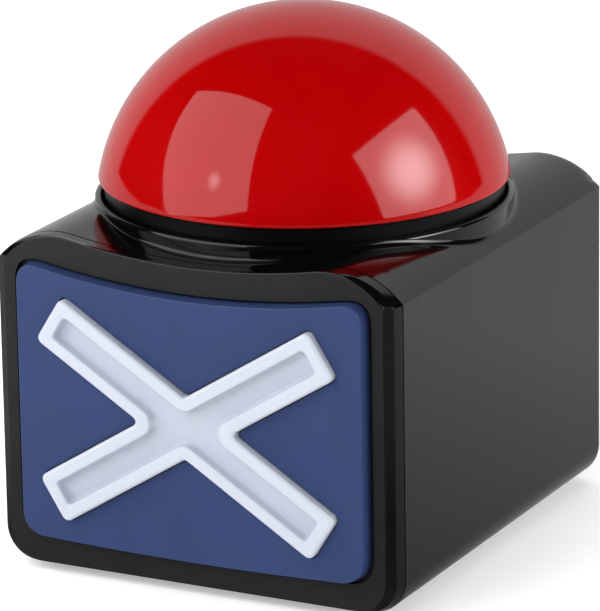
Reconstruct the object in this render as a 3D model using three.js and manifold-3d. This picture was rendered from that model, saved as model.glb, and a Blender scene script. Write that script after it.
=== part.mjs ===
// Quiz buzzer: a black box with a red push dome on top and a blue front panel that carries a white cross.
// Millimetres, +Z up, front towards -Y. The origin is the middle of the footprint, on the table.

import * as THREE from 'three';
import { mergeVertices } from 'three/addons/utils/BufferGeometryUtils.js';
import Module from 'manifold-3d';

const wasm = await Module();
wasm.setup();

// ---------------------------------------------------------------- driving dimensions

const BODY_WIDTH = 89.2;
const BODY_DEPTH = 100;
const WALL = 2.5;
const FRONT_WALL = 1.9;
const GAP = 0.3; // clearance between touching pieces
const FOOT_PROUD = 1; // how far the rubber feet stand below the body
const REACH = 5; // how far a cutting tool goes past the face it cuts
const SPAN = 120; // half the side of a box that cuts away everything beyond one plane

// Cross-section of the body: rounded bottom corners, upright sides, rounded shoulders, a shallow valley.
const BOTTOM_RADIUS = 7;
const SHOULDER_RADIUS = 17;
const SHOULDER_X = 31.6;
const SHOULDER_Z = 52.75;
const VALLEY_SLOPE = 0.179; // surface slope where the valley meets the shoulder
const REAR_ROUNDING = 3;

const BEZEL_DEPTH = 3.8;
const CHAMFER_DEPTH = 1.1;
// The bezel's width and how far it stops above the underside: at its back, its chamfer and its flat face.
const BEZEL_BASE = { width: BODY_WIDTH, lift: 0 };
const BEZEL_EDGE = { width: 88.2, lift: 0.5 };
const BEZEL_FACE = { width: 84.8, lift: 0.8 };
const PANEL_WIDTH = 77.2;
const PANEL_BOTTOM = 6.05;
const PANEL_BOTTOM_RISE = 0.9;
const PANEL_TOP = 60.95;
const PANEL_TOP_RISE = 4.2;
const PANEL_RADIUS = 5.5;
const PANEL_ROUNDING = 0.5;
const PANEL_PROUD = 2.2;
const POCKET_DEPTH = 1.5;
const PANEL_PIN_RADIUS = 1.5;
const POCKET_GAP = { side: 0.9, top: 0.35 }; // round the panel
const CROSS_PROUD = 1.8; // beyond the panel face
const CROSS_Z = 34.85;
const CROSS_ANGLE = THREE.MathUtils.degToRad(32);
const CROSS_ARM = 35.8;
const CROSS_HALF_WIDTH = 5.4;
const CROSS_RIM = 2.8;
const CROSS_CORNER = 1.4;
const CROSS_FLANGE = 1.2; // how far its flange reaches behind the panel
const TROUGH_DEPTH = 1.9;

const COLLAR_OUTER = 42.8;
const COLLAR_INNER = 41.3;
const COLLAR_TOP = 70.6;
const COLLAR_FOOT = 57.7;
const DOME_RADIUS = 42.8;
const DOME_CENTRE = 66.3;
const DOME_BASE = 73.8;
const DOME_WALL = 2.2;
const SKIRT_RADIUS = 40.8;
const SKIRT_WALL = 2;
const SKIRT_FOOT = 61.2;
const LIP_TOP = 77.2; // the carrier's lip, which centres the dome
const LIP_WALL = 1.6;
const ARM_BOTTOM = 69.2;
const ARM_TOP = 72.2;
const HUB_FOOT = 65.5;
const LEG_RING = 30;
const LEG_RADIUS = 3;
const LEG_FOOT = 48.9;
const SPRING_INNER = 3.5;
const SPRING_OUTER = 4.6;

const DECK_TOP = 57.4;
const DECK_THICKNESS = 3;
const DECK_RADIUS = 42;
const DECK_LUG = { x: 36.2, y: 28.3 };
const POST_TOP = 66.8; // where the moulded posts end, inside the case's top wall
const BUSH_FOOT = 49.2;
const LED_RING = 17;
const SWITCH = { side: 12, foot: 52.7, top: 61.7 };
const PLUNGER = { foot: 57.2, top: 65.2, radius: 2 };

const DECK_LEAD = { x: 13, y: -13 };

const BATTERY_RADIUS = 7.25;
const BATTERY_END = 28; // how far the raised terminal reaches from the middle of the bay
const CONTACT = { face: 28.3, back: 28.9, half: 5 };
const BATTERY_LENGTH = 50.5;
const BATTERY_PITCH = 15.5;
const BATTERY_Z = 10.1;
const BATTERY_MIDDLE_Y = -17.5;
const BAY = { x: 29.2, front: -41.9, rear: 6.9, ceiling: 18.6, wall: 1.3, roof: 20 };
const BOARD = { x: 28, front: -40, rear: 4 };
const BOARD_POST = { x: 24, front: -36, rear: -2 };
const PCB_BOTTOM = 24;
const PCB_THICKNESS = 1.6;
const SPEAKER = { x: -14, y: 27.5, radius: 18 };
const POWER = { x: 22, y: 27.5, travel: 4 };
const LATCH = { x: 10, y: 10, halfWidth: 6, rear: 12.9 };
const DOOR_THICKNESS = 2;

const PLATE_THICKNESS = 2.2;
const PLATE = { x: 37.2, front: -43.7, rear: 46.7 };
const PILLAR = { x: 34, front: -39, rear: 42, radius: 3.2 };
const FOOT = { x: 33.7, front: -31.5, rear: 34.5, radius: 3.2, recess: 0.8 };

// Planes worked out from the dimensions above.
const FRONT = -BODY_DEPTH / 2;
const REAR = BODY_DEPTH / 2;
const BEZEL_BACK = FRONT + BEZEL_DEPTH;
const HOUSING_FRONT = BEZEL_BACK + GAP;
const CAVITY_FRONT = HOUSING_FRONT + FRONT_WALL;
const CAVITY_REAR = REAR - WALL;
const PANEL_FACE = FRONT - PANEL_PROUD;
const PANEL_BACK = FRONT + POCKET_DEPTH - GAP;
const CROSS_FACE = PANEL_FACE - CROSS_PROUD;
const DECK_BOTTOM = DECK_TOP - DECK_THICKNESS;
const LEG_ANGLES = [90, 210, 330].map(THREE.MathUtils.degToRad);
const LED_ANGLES = [30, 150, 270].map(THREE.MathUtils.degToRad);

// ---------------------------------------------------------------- solids

function toSolid(geometry) {
  const bare = geometry.clone();
  bare.deleteAttribute('normal');
  bare.deleteAttribute('uv');
  const merged = mergeVertices(bare);
  return new wasm.Manifold(new wasm.Mesh({
    numProp: 3,
    vertProperties: new Float32Array(merged.attributes.position.array),
    triVerts: new Uint32Array(merged.index.array),
  }));
}

function toGeometry(solid) {
  const mesh = solid.getMesh();
  const geometry = new THREE.BufferGeometry();
  geometry.setAttribute('position', new THREE.BufferAttribute(mesh.vertProperties, 3));
  geometry.setIndex(new THREE.BufferAttribute(mesh.triVerts, 1));
  return geometry;
}

function join(...geometries) {
  return toGeometry(geometries.map(toSolid).reduce((sum, solid) => sum.add(solid)));
}

function cut(body, ...tools) {
  return toGeometry(tools.map(toSolid).reduce((rest, solid) => rest.subtract(solid), toSolid(body)));
}

function box(x0, x1, y0, y1, z0, z1) {
  const geometry = new THREE.BoxGeometry(x1 - x0, y1 - y0, z1 - z0);
  return geometry.translate((x0 + x1) / 2, (y0 + y1) / 2, (z0 + z1) / 2);
}

// A round bar along Z.
function post(x, y, z0, z1, radius, sides = 12) {
  const geometry = new THREE.CylinderGeometry(radius, radius, z1 - z0, sides).rotateX(Math.PI / 2);
  return geometry.translate(x, y, (z0 + z1) / 2);
}

// A round bar along Y.
function pin(x, z, y0, y1, radius, sides = 8) {
  const geometry = new THREE.CylinderGeometry(radius, radius, y1 - y0, sides);
  return geometry.translate(x, (y0 + y1) / 2, z);
}

// Turns a profile of [radius, height] pairs about a vertical axis.
function turned(profile, sides, x = 0, y = 0) {
  const points = profile.map(([radius, height]) => new THREE.Vector2(radius, height));
  return new THREE.LatheGeometry(points, sides).rotateX(Math.PI / 2).translate(x, y, 0);
}

// A ring's profile, closed on itself, for turned().
function ringProfile(inner, outer, z0, z1) {
  return [[inner, z0], [outer, z0], [outer, z1], [inner, z1], [inner, z0]];
}

// Extrudes an outline drawn in X and Z from y0 to y1, with rounded end edges where rounding is given.
function slab(outline, y0, y1, rounding = 0, curveSegments = 4) {
  const geometry = new THREE.ExtrudeGeometry(outline, {
    depth: y1 - y0 - 2 * rounding,
    curveSegments,
    bevelEnabled: rounding > 0,
    bevelThickness: rounding,
    bevelSize: rounding,
    bevelOffset: -rounding,
    bevelSegments: 2,
  });
  return geometry.rotateX(Math.PI / 2).translate(0, y1 - rounding, 0);
}

// A screw along Z: a round head and a shank on the side that `up` points to.
function screw(x, y, headZ, up, headRadius, shankRadius, shankLength) {
  const headHeight = 1.1;
  const shankEnd = headZ + up * (headHeight / 2 + shankLength);
  const head = post(x, y, headZ - headHeight / 2, headZ + headHeight / 2, headRadius, 10);
  const shank = post(x, y, Math.min(headZ, shankEnd), Math.max(headZ, shankEnd), shankRadius, 8);
  return join(head, shank);
}

// An insulated wire through hand-set points, which ends just above the main board.
function lead(points) {
  const path = new THREE.CatmullRomCurve3(points.map((point) => new THREE.Vector3(...point)));
  const section = new THREE.Shape().absarc(0, 0, 0.7, 0, 2 * Math.PI);
  return new THREE.ExtrudeGeometry(section, { steps: 12, curveSegments: 4, extrudePath: path });
}

function atCorners(x, front, rear, build) {
  return [[-x, front], [x, front], [-x, rear], [x, rear]].map(([px, py]) => build(px, py));
}

function atLugs(build) {
  return atCorners(DECK_LUG.x, -DECK_LUG.y, DECK_LUG.y, build);
}

function atPillars(build) {
  return atCorners(PILLAR.x, PILLAR.front, PILLAR.rear, build);
}

function atFeet(build) {
  return atCorners(FOOT.x, FOOT.front, FOOT.rear, build);
}

function onRing(angle, radius) {
  return [radius * Math.cos(angle), radius * Math.sin(angle)];
}

function atLegs(build) {
  return LEG_ANGLES.map((angle) => build(...onRing(angle, LEG_RING)));
}

// ---------------------------------------------------------------- outlines in X and Z

function bodyOutline(inset = 0) {
  const side = BODY_WIDTH / 2 - inset;
  const cornerX = BODY_WIDTH / 2 - BOTTOM_RADIUS;
  const corner = BOTTOM_RADIUS - inset;
  const shoulder = SHOULDER_RADIUS - inset;
  const crease = Math.acos((side - SHOULDER_X) / shoulder);
  const lean = Math.atan(VALLEY_SLOPE);
  const joinX = SHOULDER_X - shoulder * Math.sin(lean);
  const joinZ = SHOULDER_Z + shoulder * Math.cos(lean);
  const outline = new THREE.Shape();
  outline.moveTo(-cornerX, inset);
  outline.absarc(cornerX, BOTTOM_RADIUS, corner, -Math.PI / 2, 0);
  outline.absarc(SHOULDER_X, SHOULDER_Z, shoulder, crease, Math.PI / 2 + lean);
  outline.quadraticCurveTo(0, joinZ - VALLEY_SLOPE * joinX, -joinX, joinZ);
  outline.absarc(-SHOULDER_X, SHOULDER_Z, shoulder, Math.PI / 2 - lean, Math.PI - crease);
  outline.absarc(-cornerX, BOTTOM_RADIUS, corner, Math.PI, 1.5 * Math.PI);
  return outline;
}

// The panel dips in the middle of its top edge and sags a little along its bottom edge.
function panelOutline(grow = 0, sideGrow = grow) {
  const side = PANEL_WIDTH / 2 + sideGrow;
  const radius = PANEL_RADIUS + grow;
  const inner = side - radius;
  const bottom = PANEL_BOTTOM - grow;
  const bottomAtInner = bottom + PANEL_BOTTOM_RISE * (inner / side) ** 2;
  const bottomEnd = bottom + PANEL_BOTTOM_RISE;
  const top = PANEL_TOP + grow;
  const topAtInner = top + PANEL_TOP_RISE * (inner / side) ** 2;
  const topEnd = top + PANEL_TOP_RISE;
  const outline = new THREE.Shape();
  outline.moveTo(-inner, bottomAtInner);
  outline.quadraticCurveTo(0, 2 * bottom - bottomAtInner, inner, bottomAtInner);
  outline.quadraticCurveTo(side, bottomEnd, side, bottomEnd + radius);
  outline.lineTo(side, topEnd - radius);
  outline.quadraticCurveTo(side, topEnd, inner, topAtInner);
  outline.quadraticCurveTo(0, 2 * top - topAtInner, -inner, topAtInner);
  outline.quadraticCurveTo(-side, topEnd, -side, topEnd - radius);
  outline.lineTo(-side, bottomEnd + radius);
  outline.quadraticCurveTo(-side, bottomEnd, -inner, bottomAtInner);
  return outline;
}

// Draws a closed outline through corners, each rounded with an arc that touches both of its edges.
function roundedOutline(corners, radii) {
  const outline = new THREE.Shape();
  corners.forEach((corner, index) => {
    const previous = corners[(index + corners.length - 1) % corners.length];
    const next = corners[(index + 1) % corners.length];
    const back = previous.clone().sub(corner).normalize();
    const ahead = next.clone().sub(corner).normalize();
    const half = Math.acos(THREE.MathUtils.clamp(back.dot(ahead), -1, 1)) / 2;
    const reach = radii[index] / Math.tan(half);
    const centre = back.clone().add(ahead).setLength(radii[index] / Math.sin(half)).add(corner);
    const start = back.multiplyScalar(reach).add(corner).sub(centre);
    const end = ahead.multiplyScalar(reach).add(corner).sub(centre);
    const clockwise = start.cross(end) < 0;
    outline.absarc(centre.x, centre.y, radii[index], start.angle(), end.angle(), clockwise);
  });
  return outline;
}

// The diagonal cross: four arms with rounded ends and filleted crotches.
function crossOutline(grow, crotchRadius) {
  const width = CROSS_HALF_WIDTH + grow;
  const reach = CROSS_ARM + grow;
  const crotchX = width / Math.sin(CROSS_ANGLE);
  const crotchZ = width / Math.cos(CROSS_ANGLE);
  const endX = reach * Math.cos(CROSS_ANGLE);
  const endZ = reach * Math.sin(CROSS_ANGLE);
  const acrossX = width * Math.sin(CROSS_ANGLE);
  const acrossZ = width * Math.cos(CROSS_ANGLE);
  const quarters = [[1, 1], [-1, 1], [-1, -1], [1, -1]];
  const corners = quarters.flatMap(([signX, signZ]) => {
    const low = new THREE.Vector2(signX * (endX + acrossX), CROSS_Z + signZ * (endZ - acrossZ));
    const high = new THREE.Vector2(signX * (endX - acrossX), CROSS_Z + signZ * (endZ + acrossZ));
    const side = new THREE.Vector2(signX * crotchX, CROSS_Z);
    const middle = new THREE.Vector2(0, CROSS_Z + signZ * crotchZ);
    return signX * signZ > 0 ? [side, low, high, middle] : [high, low];
  });
  const radii = [crotchRadius, CROSS_CORNER, CROSS_CORNER, crotchRadius, CROSS_CORNER, CROSS_CORNER];
  return roundedOutline(corners, [...radii, ...radii]);
}

function crossSlab(grow, y0, y1, crotchRadius = 1) {
  return slab(crossOutline(grow, crotchRadius), y0, y1, 0, 1);
}

// ---------------------------------------------------------------- body and front

function upperHousing() {
  const outside = slab(bodyOutline(), HOUSING_FRONT - 2 * REAR_ROUNDING, REAR, REAR_ROUNDING);
  const beyondFront = box(-SPAN, SPAN, -SPAN, HOUSING_FRONT, -SPAN, SPAN);
  const cavity = slab(bodyOutline(WALL), CAVITY_FRONT, CAVITY_REAR);
  const plateOpening = box(-PLATE.x - GAP, PLATE.x + GAP, CAVITY_FRONT, PLATE.rear + GAP, -1, WALL + 0.5);
  const collar = turned([
    [0, COLLAR_FOOT], [COLLAR_OUTER, COLLAR_FOOT], [COLLAR_OUTER, COLLAR_TOP - 0.7],
    [COLLAR_OUTER - 0.3, COLLAR_TOP - 0.15], [COLLAR_OUTER - 0.75, COLLAR_TOP], [0, COLLAR_TOP],
  ], 48);
  const lugs = atLugs((x, y) => post(x, y, COLLAR_FOOT, POST_TOP, 3.5));
  const pillars = atPillars((x, y) => post(x, y, PLATE_THICKNESS + GAP, POST_TOP, PILLAR.radius));
  const bore = post(0, 0, COLLAR_FOOT - REACH, COLLAR_TOP + REACH, COLLAR_INNER, 48);
  const lugBores = atLugs((x, y) => post(x, y, DECK_TOP, DECK_TOP + 7.5, 1.5, 8));
  const pillarBores = atPillars((x, y) => post(x, y, 0, 11, 1.5, 8));
  const bezelHoles = bezelScrewPlaces().map(([x, z]) => pin(x, z, HOUSING_FRONT - 1, CAVITY_FRONT + 1, 1.5));
  const shell = cut(outside, beyondFront, cavity, plateOpening);
  return cut(join(shell, collar, ...lugs, ...pillars), bore, ...lugBores, ...pillarBores, ...bezelHoles);
}

function bezelScrewPlaces() {
  return [[-39.6, 14], [39.6, 14], [-39.6, 52], [39.6, 52]];
}

function panelPinPlaces() {
  return [[-34.5, 11], [34.5, 11], [-35, 57.5], [35, 57.5]];
}

// A slice of the bezel that narrows from its back to its front; the top edge stays where it is.
function bezelSlice(y0, y1, front, back) {
  const slice = slab(bodyOutline(), y0, y1);
  const position = slice.attributes.position;
  const top = SHOULDER_Z + SHOULDER_RADIUS;
  for (let index = 0; index < position.count; index += 1) {
    const { width, lift } = position.getY(index) < (y0 + y1) / 2 ? front : back;
    position.setX(index, (position.getX(index) * width) / BODY_WIDTH);
    position.setZ(index, position.getZ(index) + lift * (1 - position.getZ(index) / top));
  }
  return slice;
}

function frontBezel() {
  const edge = FRONT + CHAMFER_DEPTH;
  const outside = join(
    bezelSlice(FRONT, edge, BEZEL_FACE, BEZEL_EDGE),
    bezelSlice(edge, BEZEL_BACK, BEZEL_EDGE, BEZEL_BASE),
  );
  const pocket = slab(panelOutline(POCKET_GAP.top, POCKET_GAP.side), FRONT - REACH, FRONT + POCKET_DEPTH);
  const window = crossSlab(CROSS_FLANGE + GAP, FRONT - REACH, 0);
  const pinHoles = panelPinPlaces().map(([x, z]) => pin(x, z, FRONT - REACH, 0, PANEL_PIN_RADIUS + GAP));
  const screwBores = bezelScrewPlaces().map(([x, z]) => pin(x, z, FRONT + POCKET_DEPTH + 0.6, 0, 1.4));
  return cut(outside, pocket, window, ...pinHoles, ...screwBores);
}

function bezelScrew([x, z]) {
  const head = pin(x, z, CAVITY_FRONT + GAP, CAVITY_FRONT + GAP + 1.2, 2.2, 10);
  const shank = pin(x, z, FRONT + POCKET_DEPTH + 0.9, CAVITY_FRONT + GAP + 0.5, 1.1);
  return join(head, shank);
}

function frontPanel() {
  const face = slab(panelOutline(), PANEL_FACE, PANEL_BACK + 2 * PANEL_ROUNDING, PANEL_ROUNDING);
  const beyondBack = box(-SPAN, SPAN, PANEL_BACK, SPAN, -SPAN, SPAN);
  const pinEnd = BEZEL_BACK - GAP;
  const pins = panelPinPlaces().map(([x, z]) => pin(x, z, PANEL_BACK - 1, pinEnd, PANEL_PIN_RADIUS));
  const window = crossSlab(GAP, PANEL_FACE - REACH, 0);
  return cut(join(cut(face, beyondBack), ...pins), window);
}

function crossEmblem() {
  const raised = crossSlab(0, CROSS_FACE, PANEL_BACK + 1);
  const flange = crossSlab(CROSS_FLANGE, PANEL_BACK + GAP, BEZEL_BACK - GAP);
  const trough = crossSlab(-CROSS_RIM, CROSS_FACE - REACH, CROSS_FACE + TROUGH_DEPTH, 3);
  return cut(join(raised, flange), trough);
}

// ---------------------------------------------------------------- push dome

function domeCap() {
  const profile = [];
  const outerSteps = 9;
  const innerSteps = 5;
  const inner = DOME_RADIUS - DOME_WALL;
  const innerStart = Math.asin((DOME_BASE - DOME_CENTRE) / inner);
  const outerStart = Math.asin((DOME_BASE - DOME_CENTRE) / DOME_RADIUS);
  for (let step = innerSteps; step >= 0; step -= 1) {
    const angle = Math.PI / 2 - (Math.PI / 2 - innerStart) * (1 - step / innerSteps);
    profile.push([inner * Math.cos(angle), DOME_CENTRE + inner * Math.sin(angle)]);
  }
  for (let step = 0; step <= outerSteps; step += 1) {
    const angle = outerStart + (Math.PI / 2 - outerStart) * (step / outerSteps);
    profile.push([DOME_RADIUS * Math.cos(angle), DOME_CENTRE + DOME_RADIUS * Math.sin(angle)]);
  }
  profile[0][0] = 0;
  profile[profile.length - 1][0] = 0;
  return turned(profile, 40);
}

function domeCarrier() {
  const inner = SKIRT_RADIUS - SKIRT_WALL;
  const lip = inner - GAP;
  const skirt = turned([
    [inner, SKIRT_FOOT], [SKIRT_RADIUS, SKIRT_FOOT], [SKIRT_RADIUS, DOME_BASE - GAP], [lip, DOME_BASE - GAP],
    [lip, LIP_TOP], [lip - LIP_WALL, LIP_TOP], [lip - LIP_WALL, ARM_BOTTOM], [inner, ARM_BOTTOM - LIP_WALL],
    [inner, SKIRT_FOOT],
  ], 48);
  const hub = post(0, 0, HUB_FOOT, ARM_TOP, 6);
  const arms = LEG_ANGLES.map((angle) => box(4, lip - 0.5, -4, 4, ARM_BOTTOM, ARM_TOP).rotateZ(angle));
  const legs = atLegs((x, y) => post(x, y, LEG_FOOT, ARM_BOTTOM + 1, LEG_RADIUS));
  const bores = atLegs((x, y) => post(x, y, LEG_FOOT - 1, LEG_FOOT + 10, 1.4, 8));
  return cut(join(skirt, hub, ...arms, ...legs), ...bores);
}

function legScrew(x, y) {
  return screw(x, y, LEG_FOOT - 0.85, 1, 4.5, 1.1, 8);
}

function returnSpring(x, y) {
  return turned(ringProfile(SPRING_INNER, SPRING_OUTER, DECK_TOP + GAP, ARM_BOTTOM - GAP), 12, x, y);
}

function buttonDeck() {
  const disc = post(0, 0, DECK_BOTTOM, DECK_TOP, DECK_RADIUS, 40);
  const ears = atLugs((x, y) => post(x, y, DECK_BOTTOM, DECK_TOP, 4.2));
  const bushes = atLegs((x, y) => post(x, y, BUSH_FOOT, DECK_BOTTOM + 1, 5));
  const guides = atLegs((x, y) => post(x, y, BUSH_FOOT - 1, DECK_TOP + 1, LEG_RADIUS + 0.4));
  const below = DECK_BOTTOM - REACH;
  const above = DECK_TOP + REACH;
  const screwHoles = atLugs((x, y) => post(x, y, below, above, 1.6, 8));
  const half = SWITCH.side / 2 + GAP;
  const switchHole = box(-half, half, -half, half, below, above);
  const leadHole = post(DECK_LEAD.x, DECK_LEAD.y, below, above, 1.6, 8);
  return cut(join(disc, ...ears, ...bushes), ...guides, ...screwHoles, switchHole, leadHole);
}

function deckScrew(x, y) {
  return screw(x, y, DECK_BOTTOM - 0.85, 1, 2.4, 1.2, 9.5);
}

function ledBoard() {
  const half = SWITCH.side / 2 + 0.5;
  const disc = post(0, 0, DECK_TOP + GAP, DECK_TOP + GAP + 1.6, 24.8, 32);
  return cut(disc, box(-half, half, -half, half, DECK_TOP - REACH, DECK_TOP + REACH));
}

function domeLed(angle) {
  const base = DECK_TOP + 2 * GAP + 1.6;
  const radius = 2.5;
  const profile = [[0, base], [radius, base], [radius, base + 3.5], [1.8, base + 5.2], [0, base + 6]];
  return turned(profile, 10, ...onRing(angle, LED_RING));
}

function pressSwitchBody() {
  const half = SWITCH.side / 2;
  const bore = post(0, 0, SWITCH.foot + 1, SWITCH.top + 1, PLUNGER.radius + 0.4);
  return cut(box(-half, half, -half, half, SWITCH.foot, SWITCH.top), bore);
}

function pressSwitchPlunger() {
  return post(0, 0, PLUNGER.foot, PLUNGER.top, PLUNGER.radius);
}

// ---------------------------------------------------------------- electronics

function mainBoard() {
  const top = PCB_BOTTOM + PCB_THICKNESS;
  const board = box(-BOARD.x, BOARD.x, BOARD.front, BOARD.rear, PCB_BOTTOM, top);
  const screwHoles = boardScrewPlaces().map(([x, y]) => post(x, y, PCB_BOTTOM - REACH, top + REACH, 1.4, 8));
  return cut(board, ...screwHoles);
}

function boardScrewPlaces() {
  return [[-BOARD_POST.x, BOARD_POST.front], [BOARD_POST.x, BOARD_POST.rear]];
}

function boardScrew([x, y]) {
  return screw(x, y, PCB_BOTTOM + PCB_THICKNESS + 0.85, -1, 2.2, 1, 4.2);
}

function soundChip() {
  const foot = PCB_BOTTOM + PCB_THICKNESS + GAP;
  return box(-15, -1, -22, -14, foot, foot + 2.2);
}

function capacitor() {
  const foot = PCB_BOTTOM + PCB_THICKNESS + GAP;
  return post(12, -32, foot, foot + 11, 4, 16);
}

function deckLead() {
  const { x, y } = DECK_LEAD;
  return lead([[x, y, DECK_TOP - 0.1], [x, y, 50], [14, -16, 40], [15, -20, 31], [15, -20, 25.9]]);
}

function speakerLead() {
  return lead([[-14, 13.5, 8.6], [-14, 12, 17], [-14, 8, 27], [-14, 3.5, 29.5], [-14, 0, 26.1]]);
}

function batteryLead() {
  return lead([[20, 9.4, 6], [20, 9.8, 17], [20, 8, 26], [19, 3.5, 29.5], [17, 0, 26.1]]);
}

// ---------------------------------------------------------------- loudspeaker, facing down

function speakerBasket() {
  const rim = SPEAKER.radius;
  return turned([
    [16.2, 2.5], [rim, 2.5], [rim, 4.6], [10, 10.4], [6, 10.4],
    [6, 9.4], [9.4, 9.4], [16.2, 4.5], [16.2, 2.5],
  ], 28, SPEAKER.x, SPEAKER.y);
}

function speakerMagnet() {
  return post(SPEAKER.x, SPEAKER.y, 10.7, 15.2, 8, 20);
}

function speakerCone() {
  return turned([
    [0, 5], [4.5, 5.5], [14.6, 3.1], [15.6, 3.1], [15.6, 3.6], [14.7, 3.7],
    [4.6, 6.2], [4.6, 9.6], [4, 9.6], [4, 6.1], [0, 5.7],
  ], 24, SPEAKER.x, SPEAKER.y);
}

// ---------------------------------------------------------------- base, batteries and power switch

function grilleHoles() {
  const holes = [post(SPEAKER.x, SPEAKER.y, -1, 4, 1.3, 8)];
  for (const [count, radius] of [[6, 5], [12, 10]]) {
    for (let index = 0; index < count; index += 1) {
      const [x, y] = onRing((index / count) * 2 * Math.PI, radius);
      holes.push(post(SPEAKER.x + x, SPEAKER.y + y, -1, 4, 1.3, 8));
    }
  }
  return holes;
}

function basePlate() {
  const plate = box(-PLATE.x, PLATE.x, PLATE.front, PLATE.rear, 0, PLATE_THICKNESS);
  const bayX = BAY.x + BAY.wall;
  const bay = box(-bayX, bayX, BAY.front - BAY.wall, BAY.rear + BAY.wall, 0, BAY.roof);
  const bayInside = box(-BAY.x, BAY.x, BAY.front, BAY.rear, -1, BAY.ceiling);
  const boardPosts = atCorners(BOARD_POST.x, BOARD_POST.front, BOARD_POST.rear, (x, y) => (
    post(x, y, BAY.roof - 0.5, PCB_BOTTOM - GAP, 2.6)
  ));
  const boardBores = boardScrewPlaces().map(([x, y]) => post(x, y, BAY.roof + 0.5, PCB_BOTTOM + 1, 1.3, 8));
  const speakerSeat = turned(ringProfile(18.3, 19.4, PLATE_THICKNESS - 1, 5), 28, SPEAKER.x, SPEAKER.y);
  const latchSide = LATCH.halfWidth + GAP;
  const padSide = latchSide + 1.2;
  const latchPad = box(LATCH.x - padSide, LATCH.x + padSide, BAY.rear, LATCH.rear + 1.5, 1, 3.6);
  const latchBoss = post(LATCH.x, LATCH.y, 3, 9, 3);
  const latchRecess = box(
    LATCH.x - latchSide, LATCH.x + latchSide, BAY.rear - 1, LATCH.rear + GAP, -1, DOOR_THICKNESS + GAP,
  );
  const latchBore = post(LATCH.x, LATCH.y, -1, 8, 1.9, 8);
  const screwHoles = atPillars((x, y) => post(x, y, -1, 4, 1.6, 8));
  const screwSinks = atPillars((x, y) => post(x, y, -1, 1.3, 2.9));
  const footSinks = atFeet((x, y) => post(x, y, -1, FOOT.recess, FOOT.radius + 0.2));
  const knobDish = box(POWER.x - 5, POWER.x + 5, POWER.y - 7, POWER.y + 7, -1, 1);
  const knobSlot = box(POWER.x - 2.1, POWER.x + 2.1, POWER.y - 4.5, POWER.y + 4.5, -1, 4);
  const solid = join(plate, bay, ...boardPosts, speakerSeat, latchPad, latchBoss);
  const openings = [bayInside, latchRecess, latchBore, knobDish, knobSlot, ...boardBores];
  return cut(solid, ...openings, ...screwHoles, ...screwSinks, ...footSinks, ...grilleHoles());
}

function batteryDoor() {
  const leaf = box(-BAY.x + GAP, BAY.x - GAP, BAY.front + GAP, BAY.rear - GAP, 0, DOOR_THICKNESS);
  const { x, y, halfWidth } = LATCH;
  const tongue = box(x - halfWidth, x + halfWidth, BAY.rear - 2, LATCH.rear, 0, DOOR_THICKNESS);
  return cut(join(leaf, tongue), post(x, y, -1, 1.4, 2.7), post(x, y, -1, 4, 1.5, 8));
}

function doorScrew() {
  return screw(LATCH.x, LATCH.y, 0.55, 1, 2.4, 1.1, 5.5);
}

// One cell lying along X; `side` is +1 when its raised terminal points to +X.
function battery(y, side) {
  const terminal = BATTERY_END;
  const can = terminal - 1.3;
  const end = terminal - BATTERY_LENGTH;
  const profile = [
    [0, end], [BATTERY_RADIUS, end], [BATTERY_RADIUS, can], [2.75, can], [2.75, terminal], [0, terminal],
  ];
  const turn = side > 0 ? Math.PI / 2 : -Math.PI / 2;
  return turned(profile, 16).rotateY(turn).translate(0, y, BATTERY_Z);
}

function batterySpring(y, side) {
  const wallEnd = -CONTACT.back;
  const cellEnd = BATTERY_END - BATTERY_LENGTH - GAP;
  const profile = [
    [3.2, wallEnd], [4.8, wallEnd], [3.8, cellEnd], [2.4, cellEnd], [3.2, wallEnd],
  ];
  const turn = side > 0 ? Math.PI / 2 : -Math.PI / 2;
  return turned(profile, 12).rotateY(turn).translate(0, y, BATTERY_Z);
}

function batteryContact(y, side) {
  const { face, back, half } = CONTACT;
  const plate = box(face, back, -half, half, -half, half);
  const turn = side > 0 ? 0 : Math.PI;
  return plate.rotateZ(turn).translate(0, y, BATTERY_Z);
}

function powerSwitchBody() {
  const foot = PLATE_THICKNESS + GAP;
  const body = box(POWER.x - 4, POWER.x + 4, POWER.y - 8.5, POWER.y + 8.5, foot, foot + 5.5);
  return cut(body, box(POWER.x - 2.3, POWER.x + 2.3, POWER.y - 4.6, POWER.y + 4.6, foot - 1, foot + 3.2));
}

function powerSwitchKnob() {
  const middle = POWER.y - POWER.travel / 2;
  const stem = box(POWER.x - 1.7, POWER.x + 1.7, middle - 2, middle + 2, 0.3, PLATE_THICKNESS + GAP + 2.8);
  const grooves = [-1, 0, 1].map((row) => (
    box(POWER.x - 3, POWER.x + 3, middle + row * 1.1 - 0.2, middle + row * 1.1 + 0.2, -1, 0.6)
  ));
  return cut(stem, ...grooves);
}

function baseScrew(x, y) {
  return screw(x, y, 0.65, 1, 2.6, 1.2, 8);
}

function rubberFoot(x, y) {
  return post(x, y, -FOOT_PROUD, FOOT.recess - GAP, FOOT.radius, 20);
}

// ---------------------------------------------------------------- assembly

const buzzer = new THREE.Group();
buzzer.position.set(0, (PANEL_PROUD + CROSS_PROUD) / 2, FOOT_PROUD);

function place(name, geometry, color, roughness, metalness = 0) {
  const mesh = new THREE.Mesh(geometry, new THREE.MeshStandardMaterial({ color, roughness, metalness }));
  mesh.name = name;
  buzzer.add(mesh);
}

function placeEach(name, geometries, ...finish) {
  geometries.forEach((geometry, index) => place(`${name}_${index + 1}`, geometry, ...finish));
}

const STEEL = ['#b9bcc0', 0.35, 1];
const SPRING_STEEL = ['#a9acb0', 0.3, 1];
const BOARD_GREEN = ['#1f5a36', 0.55];

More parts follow.
